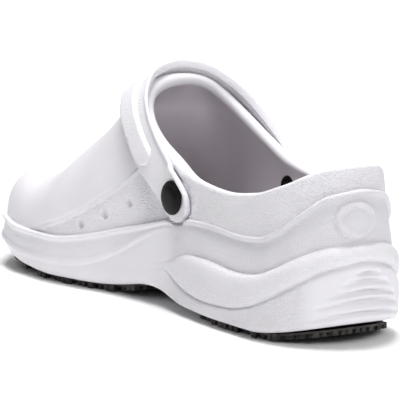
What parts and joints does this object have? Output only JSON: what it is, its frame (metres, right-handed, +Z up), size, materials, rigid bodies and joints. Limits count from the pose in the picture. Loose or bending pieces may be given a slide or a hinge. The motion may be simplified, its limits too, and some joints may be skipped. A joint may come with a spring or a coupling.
{
  "type": "chef clog",
  "caption": "White moulded kitchen work clog for the right foot, open at the heel collar, with a riveted swing strap laid forward and black block-tread rubber under the sole.",
  "frame": {"origin": "on the floor under the middle of the shoe's plan", "axes": "+X from heel to toe, +Y towards the medial side (big toe), +Z up"},
  "size_m": [0.2808, 0.1074, 0.1165],
  "materials": {
    "foam": "white closed-cell EVA foam, fine matte mould skin with leather grain and linen panels",
    "lining": null,
    "rubber": "black moulded rubber, dull",
    "plastic": "black moulded plastic, satin"
  },
  "bodies": {
    "root": {"moulded_upper": "foam", "insole": "lining", "strap": "foam", "heel_tread": "rubber", "forefoot_tread": "rubber", "rivet_cap_medial": "plastic", "rivet_cap_lateral": "plastic", "rivet_head_medial": "plastic", "rivet_head_lateral": "plastic"}
  },
  "joints": []
}
